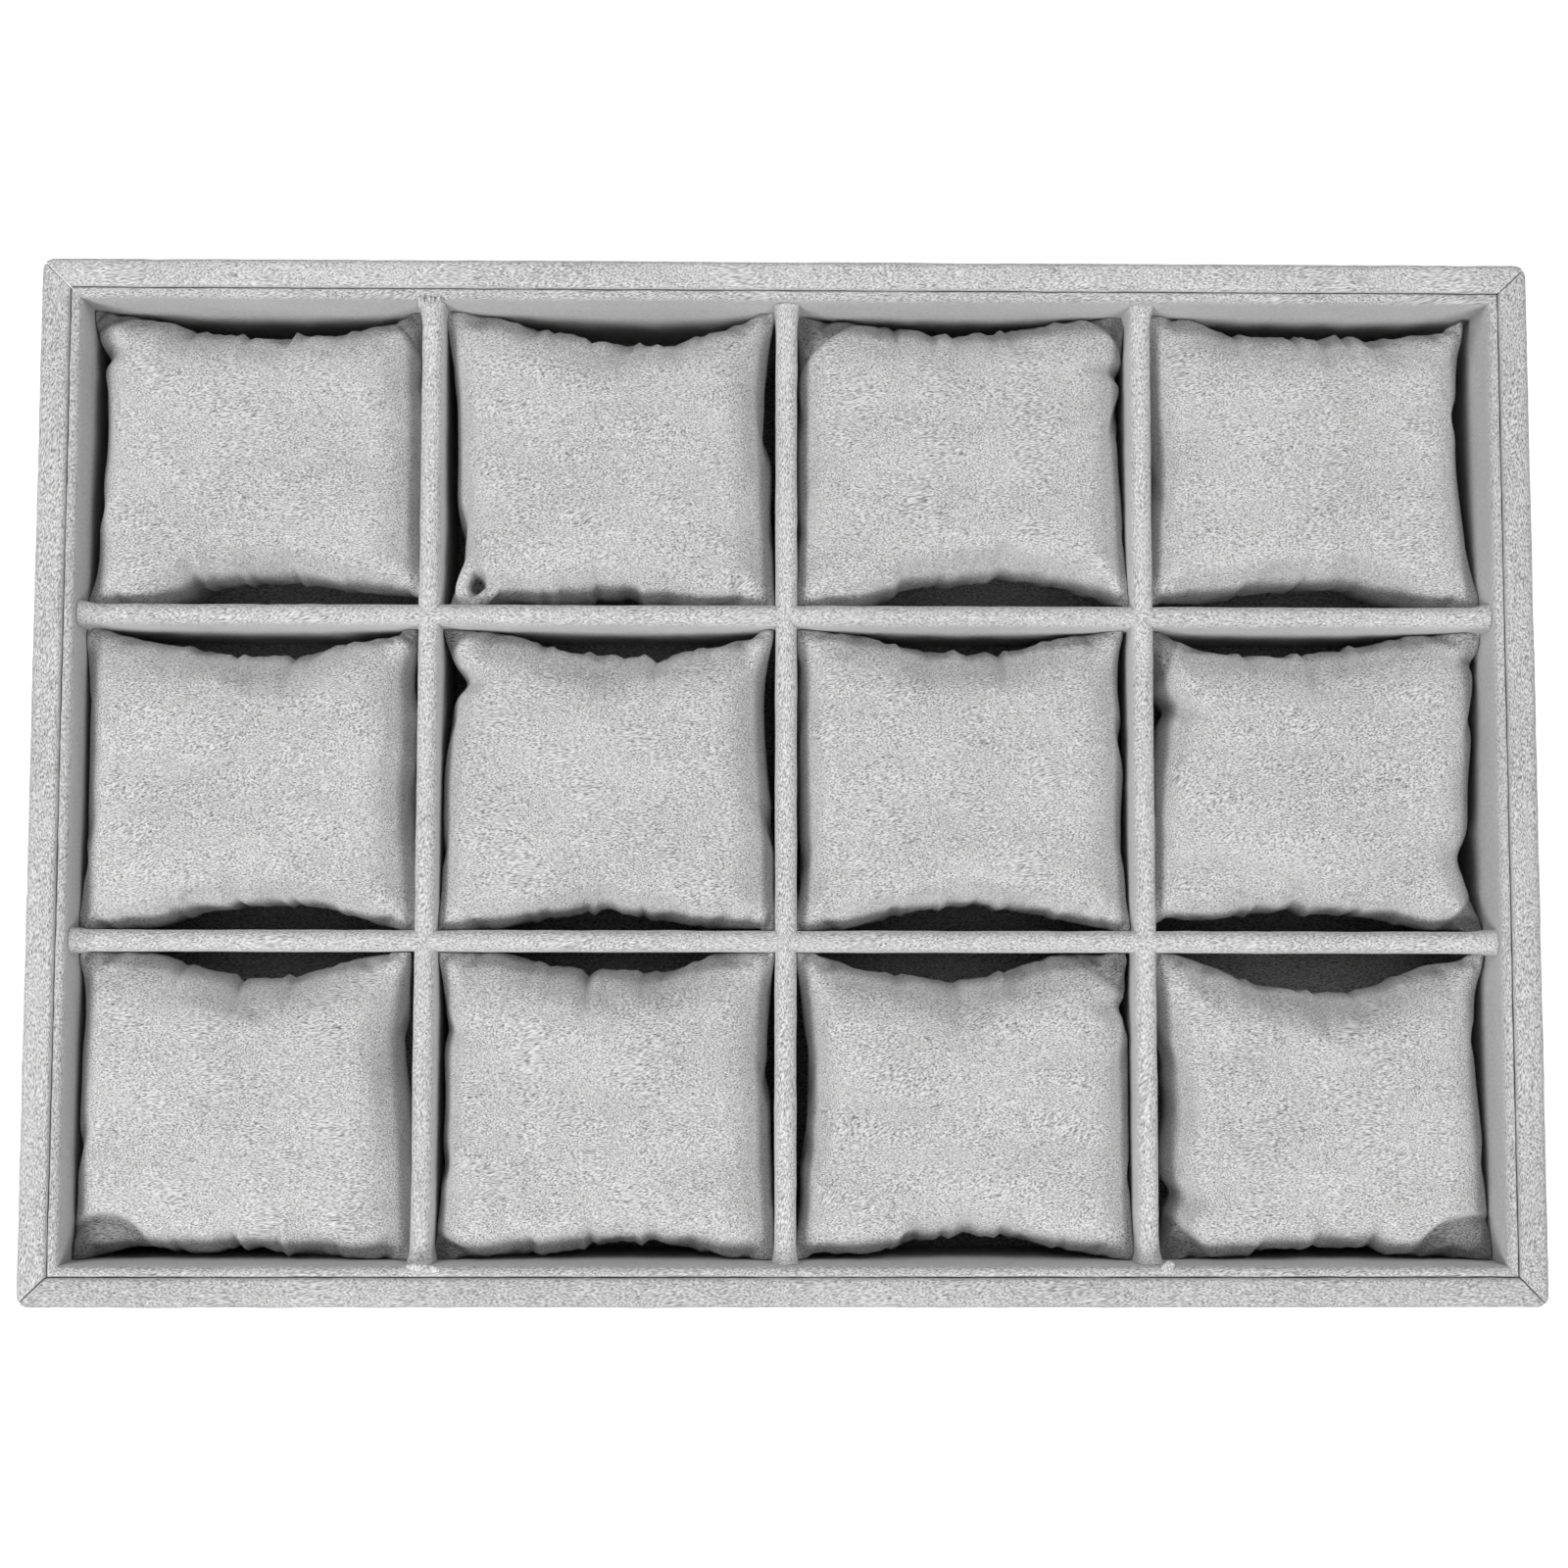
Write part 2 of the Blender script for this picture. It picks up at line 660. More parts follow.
long_strips = [long_strip, copy_of(long_strip, "wrapped_long_divider_2")]
short_strips = [short_strip]
for number in (2, 3):
    short_strips.append(copy_of(short_strip, f"wrapped_short_divider_{number}"))
for number, (strip, y) in enumerate(zip(long_strips, LONG_LINES), 1):
    stand_in_place(strip, 0, y, 0)
    wander(strip, DIVIDER_WAVINESS, WAVE_LENGTH, number + 9)
    wander(strip, WALL_FUZZ, FUZZ_LENGTH, number + 29)
    smooth_faces(strip, math.radians(50))
    give_finish(strip, DIVIDER_SUEDE_X)
    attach(strip, "root")
    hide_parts(f"long_divider_{number}")
for number, (strip, x) in enumerate(zip(short_strips, COLUMN_LINES), 1):
    stand_in_place(strip, x, 0, math.pi / 2)
    wander(strip, DIVIDER_WAVINESS, WAVE_LENGTH, number + 12)
    wander(strip, WALL_FUZZ, FUZZ_LENGTH, number + 32)
    for crossing in long_strips:
        cut_with(strip, crossing, True)
    if number in TUCKS:
        join_to(strip, [tuck_of_cloth(*TUCKS[number])])
    if number == FRAYED_DIVIDER:
        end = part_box(f"short_divider_{number}")[1].y
        teeth = []
        for step in range(TOOTH_COUNT):
            place = x + (step - (TOOTH_COUNT - 1) / 2) * TOOTH_SPACING
            teeth.append(frayed_tooth(place, end - TOOTH_LENGTH * 0.3, math.sin(step * 2.3)))
        join_to(strip, teeth)
    smooth_faces(strip, math.radians(50))
    give_finish(strip, DIVIDER_SUEDE_Y)
    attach(strip, "root")
    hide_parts(f"short_divider_{number}")


# Pillows
# Twelve little cushions of two suede panels sewn together, stuffed tight and pressed one into each
# compartment. The sewn ends are gathered, so they pucker and draw in between the corners, and the loose cloth
# at a corner makes an ear.

PILLOW_PITCH = (0.084, 0.0765)
PILLOW_LENGTH = 0.079
PILLOW_DEPTH = 0.0715
PILLOW_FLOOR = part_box("floor_lining")[1].z + 0.0003
PILLOW_TOP = 0.0395
PILLOW_HEADROOM = 0.0008
CROWN = 0.0011
SEAM_HEIGHT = 0.0225
CORNER_LIFT = 0.0100
SEAM_ALLOWANCE = 0.0006
PILLOW_GAP = 0.0003
SIDE_ROUNDING = {"left": 0.0080, "right": 0.0115}
END_ROUNDING = {"far": 0.0150, "near": 0.0085}
CORNER_FULLNESS = 3.0
FOLD_FINENESS = 2.0
BOTTOM_SLACK = 1.15
FLAT_LENGTH = 0.090
FLAT_DEPTH = 0.084
FLAT_DIP = 0.003
FLAT_MIDDLE = 0.017
FLAT_FULLNESS = (3.2, 2.2)
PANEL_COLUMNS = 44
PANEL_ROWS = 38
BAG_COUNT = 6
SETTLE_FRAMES = 34
IRONING = 60
WRINKLE_SHARE = 0.9
GATHER_DEPTH = 0.0015
GATHER_WAVES = (34, 53, 72)
GATHERED_SHARE = 0.75
GROOVE_SHARE = 1.3
GROOVE_REACH = 0.006
EAR_THICKNESS = 0.002
EAR_SINK = 0.0006
EAR_SLOPE = 0.25
BULGE_SLOPE = -0.2
CREASE_WIDTH = 0.0009
FOLDED_SHADE = (0.52, 0.52, 0.52, 1.0)
ROLLED_PILLOW = "r1_c2"
ROLL_THICKNESS = 0.0030
ROLL_PATH = (
    (-0.0300, -0.0190, 0.0343),
    (-0.0318, -0.0235, 0.0350),
    (-0.0338, -0.0280, 0.0352),
    (-0.0354, -0.0322, 0.0344),
    (-0.0342, -0.0350, 0.0338),
    (-0.0312, -0.0348, 0.0338),
    (-0.0284, -0.0326, 0.0342),
    (-0.0262, -0.0302, 0.0340),
    (-0.0236, -0.0268, 0.0330),
)
PILLOW_GRAIN = (0.52, 1.0, 1.0)

# Each pillow was made on the same pattern but settled in its own way. Its far, near, left and right sides are
# drawn in by so many millimetres, at seven even places from left to right or from near to far. An ear is the
# loose cloth at a corner: the place of its middle and its reach along and across the compartment in
# millimetres, how round its fold line is (2 is round, 1 is straight), its height over the seam and the depth
# of its crease. A pucker is a side, a place on it from -1 to 1, a depth in millimetres and a width.
PILLOWS = {
    "r1_c1": {
        "far": (1.2, 0.1, 3.6, 4.1, 3.0, 3.3, 1.0),
        "near": (0.0, 0.0, 5.6, 8.1, 7.0, 5.2, 4.6),
        "left": (1.2, 1.7, 1.2, 2.7, 2.6, 1.6, 0.8),
        "right": (0.4, 1.1, 0.0, 0.0, 0.0, 2.2, 1.8),
        "ears": (
            ("far left", (0, 0), (14.5, 5.5), 0.8, 12.5, 1.0),
            ("far right", (0, 0), (10.0, 13.0), 0.8, 12.0, 1.2),
        ),
        "puckers": (
            ("near", -0.40, 1.4, 0.05),
            ("near", -0.28, 1.0, 0.04),
            ("far", 0.15, 0.6, 0.05),
            ("left", 0.72, 1.6, 0.07),
        ),
    },
    "r1_c2": {
        "far": (0.0, 0.0, 2.7, 4.9, 5.7, 3.2, 0.0),
        "near": (0.2, 3.3, 0.6, 4.3, 0.4, 0.0, 0.4),
        "left": (2.8, 5.4, 2.9, 2.7, 2.4, 1.4, 0.6),
        "right": (1.4, 0.7, 1.6, 1.4, 3.5, 2.9, 1.5),
        "ears": (("near left", (8.0, 5.2), (1.9, 2.4), 2.0, 7.5, 0.6),),
        "puckers": (
            ("far", 0.10, 0.8, 0.05),
            ("near", 0.12, 1.0, 0.05),
            ("near", 0.36, 0.9, 0.05),
            ("near", -0.30, 0.8, 0.05),
        ),
    },
    "r1_c3": {
        "far": (1.5, 1.1, 1.1, 2.6, 1.1, 0.0, 0.0),
        "near": (0.0, 0.0, 6.5, 8.0, 8.8, 7.7, 2.4),
        "left": (0.0, 0.0, 0.0, 0.0, 0.4, 0.6, 0.4),
        "right": (0.0, 0.0, 0.2, 1.3, 1.4, 0.6, 0.4),
        "ears": (
            ("far left", (0, 0), (17.0, 15.0), 0.8, 11.5, 1.2),
            ("far right", (0, 0), (8.5, 9.0), 0.9, 10.5, 1.0),
        ),
        "puckers": (
            ("far", -0.18, 0.7, 0.05),
            ("far", 0.02, 0.7, 0.05),
            ("far", 0.20, 0.6, 0.05),
            ("near", 0.28, 1.6, 0.05),
            ("right", 0.62, 1.4, 0.05),
        ),
    },
    "r1_c4": {
        "far": (0.0, 0.0, 3.3, 2.4, 3.3, 3.2, 4.0),
        "near": (3.2, 3.6, 5.5, 7.1, 5.7, 1.6, 0.0),
        "left": (0.0, 0.0, 1.0, 2.1, 0.3, 0.0, 0.2),
        "right": (0.0, 1.0, 2.3, 3.4, 3.2, 3.2, 4.0),
        "ears": (),
        "puckers": (("far", 0.42, 0.7, 0.05), ("far", 0.10, 0.6, 0.05), ("near", 0.25, 1.0, 0.06)),
    },
    "r2_c1": {
        "far": (0.0, 2.8, 3.5, 5.9, 4.9, 2.0, 1.8),
        "near": (0.0, 0.2, 4.1, 5.5, 6.2, 2.9, 0.0),
        "left": (0.0, 0.0, 0.0, 0.0, 0.0, 0.0, 0.0),
        "right": (0.4, 0.7, 2.4, 3.4, 0.7, 3.8, 2.4),
        "ears": (("far right", (0, 0), (7.0, 5.0), 0.9, 10.5, 0.8),),
        "puckers": (("far", -0.10, 0.6, 0.06), ("far", 0.25, 0.7, 0.06), ("near", -0.05, 0.7, 0.05)),
    },
    "r2_c2": {
        "far": (0.1, 0.0, 3.6, 5.3, 4.4, 3.6, 1.8),
        "near": (0.0, 0.8, 3.3, 4.7, 2.3, 0.8, 1.6),
        "left": (0.0, 0.1, 0.0, 0.0, 1.5, 3.4, 1.2),
        "right": (1.0, 0.0, 0.4, 2.0, 3.0, 3.5, 1.7),
        "ears": (("far left", (0, 0), (6.0, 8.0), 1.0, 11.0, 0.6),),
        "puckers": (
            ("left", 0.66, 2.6, 0.08),
            ("far", 0.10, 0.7, 0.04),
            ("far", 0.30, 0.8, 0.05),
            ("near", 0.00, 0.8, 0.05),
        ),
    },
    "r2_c3": {
        "far": (0.0, 0.0, 3.0, 4.1, 3.7, 0.9, 1.0),
        "near": (0.0, 1.0, 4.4, 5.8, 5.1, 2.6, 0.7),
        "left": (0.0, 1.8, 1.1, 0.9, 0.0, 1.2, 0.1),
        "right": (1.4, 0.6, 1.5, 0.9, 0.7, 2.1, 3.0),
        "ears": (),
        "puckers": (
            ("far", -0.20, 0.6, 0.04),
            ("far", 0.05, 0.7, 0.04),
            ("far", 0.25, 0.6, 0.04),
            ("near", 0.10, 0.7, 0.05),
        ),
    },
    "r2_c4": {
        "far": (0.0, 4.3, 4.5, 4.2, 2.1, 0.0, 0.0),
        "near": (4.2, 2.7, 4.5, 3.9, 4.0, 1.0, 0.5),
        "left": (0.0, 0.0, 0.0, 0.5, 3.8, 2.2, 0.1),
        "right": (1.6, 3.8, 2.2, 2.1, 0.8, 1.0, 0.4),
        "ears": (
            ("far left", (0, 0), (7.0, 16.0), 1.2, 12.0, 1.2),
            ("near right", (0, 0), (10.0, 9.0), 1.2, 11.0, 0.8),
        ),
        "puckers": (
            ("left", 0.50, 2.4, 0.08),
            ("right", 0.80, 1.0, 0.05),
            ("right", -0.52, 1.4, 0.12),
            ("near", -0.15, 1.4, 0.06),
        ),
    },
    "r3_c1": {
        "far": (0.8, 0.0, 4.0, 6.5, 5.2, 1.9, 0.9),
        "near": (0.0, 3.2, 0.0, 0.7, 0.0, 0.0, 0.0),
        "left": (0.0, 0.0, 0.0, 0.0, 0.0, 1.0, 1.3),
        "right": (0.0, 0.4, 0.7, 2.8, 5.0, 3.7, 3.2),
        "ears": (("near left", (8.0, 2.5), (9.0, 8.0), 2.0, 11.5, 1.2),),
        "puckers": (("near", -0.08, 1.6, 0.06), ("near", 0.08, 1.0, 0.05), ("far", -0.08, 0.8, 0.05)),
    },
    "r3_c2": {
        "far": (1.0, 0.0, 3.5, 3.5, 5.1, 0.6, 0.0),
        "near": (0.0, 0.1, 0.5, 2.8, 2.9, 0.6, 0.0),
        "left": (0.0, 0.7, 1.1, 1.6, 1.3, 1.5, 1.2),
        "right": (0.0, 0.0, 1.1, 1.6, 2.3, 1.9, 1.1),
        "ears": (("near left", (0, 0), (11.0, 6.0), 1.0, 11.0, 1.0),),
        "puckers": (("far", -0.12, 1.6, 0.05), ("left", 0.50, 0.8, 0.08), ("near", 0.30, 0.7, 0.05)),
    },
    "r3_c3": {
        "far": (0.0, 4.2, 5.2, 6.8, 3.6, 0.4, 1.6),
        "near": (2.4, 0.2, 2.7, 5.1, 3.3, 1.4, 0.0),
        "left": (0.6, 1.9, 1.6, 3.9, 3.6, 2.2, 0.7),
        "right": (0.0, 0.0, 0.0, 0.0, 0.0, 0.1, 3.2),
        "ears": (("far right", (0, 0), (13.0, 9.5), 1.2, 11.0, 1.2),),
        "puckers": (
            ("right", 0.68, 1.6, 0.07),
            ("near", 0.00, 0.8, 0.05),
            ("near", -0.30, 0.7, 0.05),
            ("far", -0.10, 0.7, 0.05),
        ),
    },
    "r3_c4": {
        "far": (0.0, 2.7, 7.6, 8.9, 9.1, 4.2, 2.0),
        "near": (0.2, 0.0, 0.0, 2.7, 0.1, 0.0, 0.0),
        "left": (2.0, 4.6, 2.9, 5.4, 2.9, 2.0, 0.0),
        "right": (0.0, 0.0, 0.2, 1.0, 1.9, 2.2, 2.3),
        "ears": (
            ("near left", (0, 0), (12.5, 13.0), 1.0, 11.0, 1.4),
            ("near right", (6.0, 1.0), (11.5, 9.0), 2.0, 11.5, 1.4),
        ),
        "puckers": (
            ("near", 0.28, 1.6, 0.06),
            ("far", 0.00, 0.7, 0.05),
            ("far", 0.20, 0.6, 0.05),
            ("left", -0.60, 1.8, 0.07),
        ),
    },
}


def rolled_corner(path, thickness):
    """The rolled edge of a corner that curls over, as a tube along a path."""
    deselect_all()
    bpy.ops.curve.primitive_nurbs_path_add()
    roll = bpy.context.object
    spline = roll.data.splines[0]
    spline.points.add(len(path) - len(spline.points))
    for point, place in zip(spline.points, path):
        point.co = (*place, 1)
    spline.order_u = 4
    spline.use_endpoint_u = True
    roll.data.bevel_depth = thickness / 2
    roll.data.bevel_resolution = 4
    roll.data.use_fill_caps = True
    bpy.ops.object.convert(target="MESH")
    return bpy.context.object


def flat_bag(name):
    """The bag as it is sewn: a cube divided into two panels, before it is stuffed."""
    deselect_all()
    bpy.ops.mesh.primitive_cube_add(size=2)
    bag = bpy.context.object
    bag.name = name
    bag.data.name = name
    bpy.ops.object.mode_set(mode="EDIT")
    for axis, parts in ((0, PANEL_COLUMNS), (1, PANEL_ROWS)):
        select_edges(bag, lambda a, b: abs(a[axis] - b[axis]) > 0.01)
        bpy.ops.mesh.subdivide(number_cuts=parts - 1)
    bpy.ops.object.mode_set(mode="OBJECT")
    return bag


def places_of(bag):
    """Each point's place on the flat bag: across and along from -1 to 1, and -1 or 1 for the panel."""
    return np.array([vert.co[:] for vert in bag.data.vertices])


def half_filled(places):
    """The bag with a little filling, drawn to a thin seam all round."""
    across, along, panel = places.T
    x = across * FLAT_LENGTH / 2
    y = along * (FLAT_DEPTH / 2 - FLAT_DIP * (1 - np.abs(across) ** 2.4))
    swell = np.sqrt(1 - np.abs(across) ** FLAT_FULLNESS[0]) * np.sqrt(1 - np.abs(along) ** FLAT_FULLNESS[1])
    rise = SEAM_ALLOWANCE + (FLAT_MIDDLE - SEAM_ALLOWANCE) * 0.5 * swell
    return np.stack([x, y, FLAT_MIDDLE + panel * rise], axis=1)


def stuff_bag(bag, gathers):
    """Fills the bag: the gathered seams shrink while the filling presses outwards, which puckers the ends."""
    seam = bag.vertex_groups.new(name="gathered seam")
    for vert in bag.data.vertices:
        x, y, z = vert.co
        gathered = abs(z - FLAT_MIDDLE) < 0.0008 and abs(y) > 0.02 and abs(x) < 0.036
        uneven = 0.7 + 0.5 * noise.noise(Vector((x * 90, math.copysign(3, y), gathers)))
        seam.add([vert.index], min(max(uneven, 0.0), 1.0) if gathered else 0.0, "REPLACE")
    cloth = bag.modifiers.new("stuffing", "CLOTH")
    cloth.collision_settings.use_collision = False
    cloth.collision_settings.use_self_collision = False
    suede = cloth.settings
    suede.quality = 5
    suede.mass = 0.3
    suede.tension_stiffness = 40
    suede.bending_stiffness = 0.05
    suede.use_pressure = True
    suede.uniform_pressure_force = 60
    suede.effector_weights.gravity = 0
    suede.vertex_group_shrink = "gathered seam"
    suede.shrink_min = 0
    suede.shrink_max = 0.12
    scene = bpy.context.scene
    scene.frame_start = 1
    scene.frame_end = SETTLE_FRAMES
    cloth.point_cache.frame_start = 1
    cloth.point_cache.frame_end = SETTLE_FRAMES
    for step in range(1, SETTLE_FRAMES + 1):
        scene.frame_set(step)
    bpy.context.view_layer.objects.active = bag
    bpy.ops.object.modifier_apply(modifier="stuffing")
    bag.vertex_groups.clear()


def smoothstep(value):
    value = np.clip(value, 0, 1)
    return value * value * (3 - 2 * value)


def puckers_on(side, places, puckers):
    total = np.zeros_like(places)
    for on, at, depth, width in puckers:
        if on == side:
            total += depth / 1000 * np.exp(-(((places - at) / width) ** 2))
    return total


def small_gathers(places, seed):
    """The fine uneven gathers along a sewn end, deepest in its middle."""
    wave = np.zeros_like(places)
    for number, pitch in enumerate(GATHER_WAVES):
        phase = 2.4 * seed + 1.7 * number
        wave += np.cos(pitch * places + phase) / len(GATHER_WAVES)
    return GATHER_DEPTH * (0.5 + 0.5 * wave) * np.clip(1 - (places / GATHERED_SHARE) ** 2, 0, 1)


def drawn_in(side, places, shape):
    """How far one side of a pillow is drawn in at given places along it, as a smooth curve."""
    steps = np.linspace(-1, 1, 121)
    curve = np.interp(steps, np.linspace(-1, 1, 7), shape[side]) / 1000
    kernel = np.hanning(29)
    kernel /= kernel.sum()
    curve = np.convolve(np.pad(curve, 14, mode="edge"), kernel, mode="valid")
    return np.interp(places, steps, curve)


def rounded(share):
    """A quarter circle's height from its edge, 0, to its top, 1."""
    return np.sqrt(np.clip(1 - (1 - np.clip(share, 0, 1)) ** 2, 1e-6, 1))


def settled_bag(places, shape, seed):
    """The bag at rest in its compartment, with rounded sides, tapering ends and its gathers and grooves."""
    across, along, panel = places.T
    across = np.sign(across) * (1 - (1 - np.abs(across)) ** FOLD_FINENESS)
    along = np.sign(along) * (1 - (1 - np.abs(along)) ** (FOLD_FINENESS - 0.4))
    half_length = np.full_like(across, PILLOW_LENGTH / 2 - PILLOW_GAP)
    half_depth = np.full_like(across, PILLOW_DEPTH / 2 - PILLOW_GAP)
    from_side = (1 - np.abs(across)) * PILLOW_LENGTH / 2
    from_end = (1 - np.abs(along)) * PILLOW_DEPTH / 2
    groove = np.zeros_like(across)
    for side, here, place, from_edge in (
        ("far", along > 0, across, from_end),
        ("near", along <= 0, across, from_end),
        ("right", across > 0, along, from_side),
        ("left", across <= 0, along, from_side),
    ):
        gathers = puckers_on(side, place, shape["puckers"])
        if side in ("far", "near"):
            gathers += small_gathers(place, seed + (side == "far"))
            half_depth -= np.where(here, drawn_in(side, place, shape) + gathers, 0)
        else:
            half_length -= np.where(here, drawn_in(side, place, shape) + gathers, 0)
        groove += np.where(here, GROOVE_SHARE * gathers * np.exp(-((from_edge / GROOVE_REACH) ** 2)), 0)
    side_rounding = np.where(across > 0, SIDE_ROUNDING["right"], SIDE_ROUNDING["left"])
    side_fold = rounded(from_side / side_rounding) ** -CORNER_FULLNESS
    end_rounding = np.where(along > 0, END_ROUNDING["far"], END_ROUNDING["near"])
    end_fold = rounded(from_end / end_rounding) ** -CORNER_FULLNESS
    full = (side_fold + end_fold - 1) ** (-1 / CORNER_FULLNESS)
    seam = SEAM_HEIGHT + CORNER_LIFT * np.abs(across * along) ** 4
    top = PILLOW_TOP - CROWN * (across**2 + along**2) / 2
    above = seam + SEAM_ALLOWANCE + (top - seam - SEAM_ALLOWANCE) * full - groove * full**0.3
    below = seam - SEAM_ALLOWANCE - (seam - PILLOW_FLOOR) * np.minimum(full * BOTTOM_SLACK, 1)
    z = np.where(panel > 0, above, np.maximum(below, PILLOW_FLOOR))
    return np.stack([across * half_length, along * half_depth, z], axis=1)


def wrinkles_of(bag):
    """The simulated bag's wrinkles and puckers: how far each point stands off from the bag ironed smooth."""
    points = places_of(bag)
    ends = np.array([edge.vertices[:] for edge in bag.data.edges])
    ends = np.concatenate([ends, ends[:, ::-1]])
    meeting = np.bincount(ends[:, 0], minlength=len(points))[:, None]
    ironed = points.copy()
    for _ in range(IRONING):
        pull = [np.bincount(ends[:, 0], ironed[ends[:, 1], axis], len(points)) for axis in range(3)]
        ironed = ironed * 0.4 + np.stack(pull, axis=1) / meeting * 0.6
    return points - ironed


def kept_inside(points):
    """Keeps a bag's points inside its compartment."""
    half_length = PILLOW_LENGTH / 2 - PILLOW_GAP / 2
    half_depth = PILLOW_DEPTH / 2 - PILLOW_GAP / 2
    low = (-half_length, -half_depth, PILLOW_FLOOR)
    high = (half_length, half_depth, PILLOW_TOP + PILLOW_HEADROOM)
    return np.clip(points, low, high)


def raise_ears(points, places, shape):
    """Makes the loose cloth at the corners into ears: flaps that lie lower than the body, behind a crease."""
    half_length = PILLOW_LENGTH / 2 - PILLOW_GAP
    half_depth = PILLOW_DEPTH / 2 - PILLOW_GAP
    x, y, z = points.T.copy()
    nap = np.zeros_like(x)
    for corner, middle, (reach_x, reach_y), roundness, height, crease in shape["ears"]:
        far = 1 if "far" in corner else -1
        right = 1 if "right" in corner else -1
        here = (places[:, 1] * far > 0) & (places[:, 0] * right > 0)
        from_side = np.abs((half_length - x * right) * 1000 - middle[0]) / reach_x
        from_end = np.abs((half_depth - y * far) * 1000 - middle[1]) / reach_y
        away = (from_side**roundness + from_end**roundness) ** (1 / roundness)
        reach = min(reach_x, reach_y) / 1000
        inside = (1 - away) * reach
        loose = smoothstep(inside / CREASE_WIDTH / 2 + 0.5) * here
        slope = EAR_SLOPE if middle == (0, 0) else BULGE_SLOPE
        top = SEAM_HEIGHT + height / 1000 - inside * slope
        flap = np.where(places[:, 2] > 0, np.minimum(top, z - EAR_SINK), np.minimum(z, top - EAR_THICKNESS))
        z = z + (flap - z) * loose
        fold = np.exp(-((inside / CREASE_WIDTH) ** 2)) * here * (places[:, 2] > 0)
        z = z - crease / 1000 * fold
        nap = np.maximum(nap, loose)
    return np.stack([x, y, z], axis=1), nap


def shade_ears(finish):
    """Darkens the ears, where the cloth is folded over and its nap lies the other way."""
    nodes = finish.node_tree.nodes
    links = finish.node_tree.links
    shader = nodes["Principled BSDF"]
    folded = nodes.new("ShaderNodeAttribute")
    folded.attribute_name = "folded"
    shade = nodes.new("ShaderNodeMix")
    shade.data_type = "RGBA"
    shade.blend_type = "MULTIPLY"
    shade.inputs["B"].default_value = FOLDED_SHADE
    links.new(folded.outputs["Fac"], shade.inputs["Factor"])
    links.new(shader.inputs["Base Color"].links[0].from_socket, shade.inputs["A"])
    links.new(shade.outputs["Result"], shader.inputs["Base Color"])
    return finish


PILLOW_SUEDE = []
for turn in (0.1, -0.35, 0.5):
    finish = suede_finish(f"pillow suede {turn}", PILLOW_GRAIN, 1.0, 1.6, 0.28, 0.5, turn, 0.75)
    PILLOW_SUEDE.append(shade_ears(finish))


def with_points(name, points):
    """A bag of the sewn pattern with its points at the given places."""
    bag = flat_bag(name)
    bag.data.vertices.foreach_set("co", points.astype(np.float32).ravel())
    bag.data.update()
    return bag


def divide_finely(bag):
    """Divides a bag's panels once more, smoothly."""
    finer = bag.modifiers.new("finer", "SUBSURF")
    finer.levels = 1
    finer.render_levels = 1
    bpy.context.view_layer.objects.active = bag
    bpy.ops.object.modifier_apply(modifier="finer")
    return places_of(bag)


pattern = flat_bag("pattern")
flat = places_of(pattern)
divide_finely(pattern)
fine_flat = places_of(pattern)
fine_flat = np.clip(fine_flat / np.abs(fine_flat).max(axis=0), -1, 1)
wrinkles = []
for number in range(BAG_COUNT):
    bag = with_points("bag", half_filled(flat))
    stuff_bag(bag, number)
    divide_finely(bag)
    wrinkles.append(wrinkles_of(bag))
    bpy.data.objects.remove(bag)

for row in (1, 2, 3):
    for column in (1, 2, 3, 4):
        place = f"r{row}_c{column}"
        number = (row - 1) * 4 + column - 1
        shape = PILLOWS[place]
        turned = (1, 1, 1) if number < BAG_COUNT else (-1, -1, 1)
        places = fine_flat * turned
        points = settled_bag(places, shape, number) + wrinkles[number % BAG_COUNT] * turned * WRINKLE_SHARE
        points, folded = raise_ears(kept_inside(points), places, shape)
        middle = Vector(((column - 2.5) * PILLOW_PITCH[0], (2 - row) * PILLOW_PITCH[1], 0))
        points += np.array(middle)
        pillow = copy_of(pattern, f"stuffed_pillow_{place}")
        pillow.data.vertices.foreach_set("co", points.astype(np.float32).ravel())
        pillow.data.update()
        pillow.data.attributes.new("folded", "FLOAT", "POINT").data.foreach_set("value", folded)
        if place == ROLLED_PILLOW:
            join_to(pillow, [rolled_corner([middle + Vector(step) for step in ROLL_PATH], ROLL_THICKNESS)])
        pillow.data.shade_smooth()
        give_finish(pillow, PILLOW_SUEDE[number % 3])
        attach(pillow, "root")
        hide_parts(f"pillow_{place}")
bpy.data.objects.remove(pattern)


# Studio
# A white paper floor, four large soft lamps round the tray and a dim even sky, with the camera almost
# straight above and a touch towards the near side, as in the photograph. Lamps from four sides leave the gaps
# between pieces dark.

FLOOR_SIZE = 4.0
PAPER_WHITE = (0.62, 0.62, 0.62, 1.0)
PAPER_GLOW = 0.70
SKY_STRENGTH = 0.10
SOFTBOX_SIZE = 0.6
SOFTBOXES = (
    ("near left softbox", (-0.85, -0.85, 1.15), 16.0),
    ("near right softbox", (0.85, -0.85, 1.15), 10.5),
    ("far left softbox", (-0.85, 0.85, 1.15), 7.5),
    ("far right softbox", (0.85, 0.85, 1.15), 5.0),
)
CAMERA_PLACE = (-0.00753, -0.04442, 0.59133)
CAMERA_TILT = 4.442
CAMERA_ROLL = -0.739
CAMERA_YAW = 0.146
CAMERA_LENS = 54.36


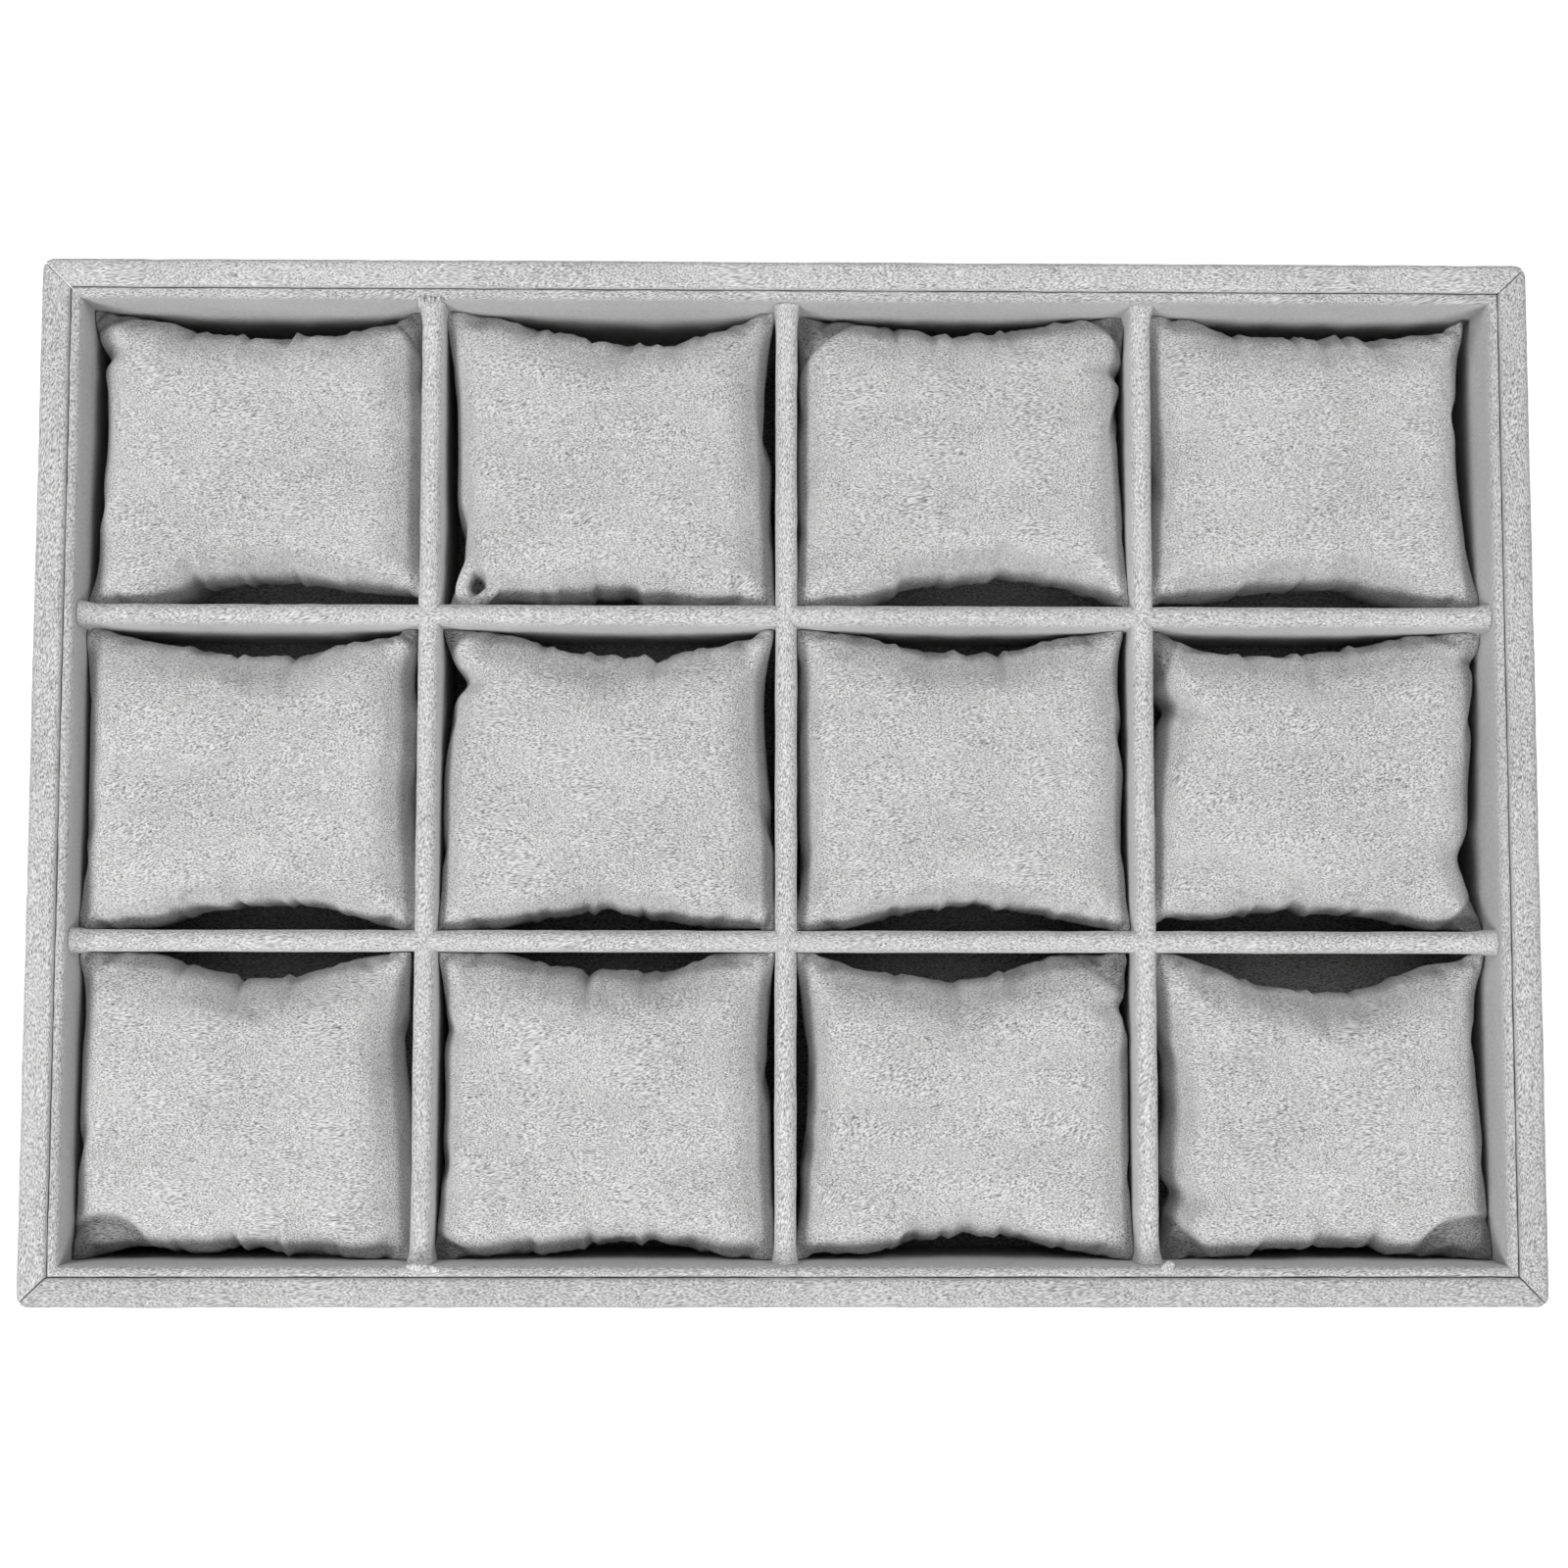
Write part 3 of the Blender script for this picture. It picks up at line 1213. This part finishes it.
def seen_directly(nodes, links):
    """1 for what the camera, a reflection or a view through glass sees, and 0 for light on things."""
    path = nodes.new("ShaderNodeLightPath")
    first = nodes.new("ShaderNodeMath")
    first.operation = "MAXIMUM"
    links.new(path.outputs["Is Camera Ray"], first.inputs[0])
    links.new(path.outputs["Is Glossy Ray"], first.inputs[1])
    second = nodes.new("ShaderNodeMath")
    second.operation = "MAXIMUM"
    links.new(first.outputs[0], second.inputs[0])
    links.new(path.outputs["Is Transmission Ray"], second.inputs[1])
    return second.outputs[0]


bpy.ops.mesh.primitive_plane_add(size=FLOOR_SIZE, location=(0, 0, -0.0001))
paper = bpy.context.object
paper.name = "paper_floor"
paper_finish, nodes, links, shader = new_finish("white paper", 0.9, 0.0, 0.0)
shader.inputs["Base Color"].default_value = PAPER_WHITE
glow = nodes.new("ShaderNodeMath")
glow.operation = "MULTIPLY"
glow.inputs[1].default_value = PAPER_GLOW
links.new(seen_directly(nodes, links), glow.inputs[0])
shader.inputs["Emission Color"].default_value = (1, 1, 1, 1)
links.new(glow.outputs[0], shader.inputs["Emission Strength"])
give_finish(paper, paper_finish)

scene = bpy.context.scene
sky = bpy.data.worlds.new("studio")
scene.world = sky
sky.use_nodes = True
nodes = sky.node_tree.nodes
links = sky.node_tree.links
background = nodes["Background"]
background.inputs["Color"].default_value = (1, 1, 1, 1)
level = nodes.new("ShaderNodeMapRange")
level.inputs["To Min"].default_value = SKY_STRENGTH
level.inputs["To Max"].default_value = 1.0
links.new(seen_directly(nodes, links), level.inputs["Value"])
links.new(level.outputs["Result"], background.inputs["Strength"])

for name, place, power in SOFTBOXES:
    softbox = bpy.data.lights.new(name, "AREA")
    softbox.size = SOFTBOX_SIZE
    softbox.energy = power
    stand = bpy.data.objects.new(name, softbox)
    scene.collection.objects.link(stand)
    stand.location = place
    stand.rotation_euler = Vector(place).to_track_quat("Z", "Y").to_euler()

camera = bpy.data.objects.new("camera", bpy.data.cameras.new("camera"))
scene.collection.objects.link(camera)
camera.data.sensor_width = 36
camera.data.lens = CAMERA_LENS
camera.data.clip_start = 0.01
camera.location = CAMERA_PLACE
camera.rotation_mode = "YXZ"
camera.rotation_euler = [math.radians(turn) for turn in (CAMERA_TILT, CAMERA_ROLL, CAMERA_YAW)]
scene.camera = camera
scene.view_settings.view_transform = "Standard"
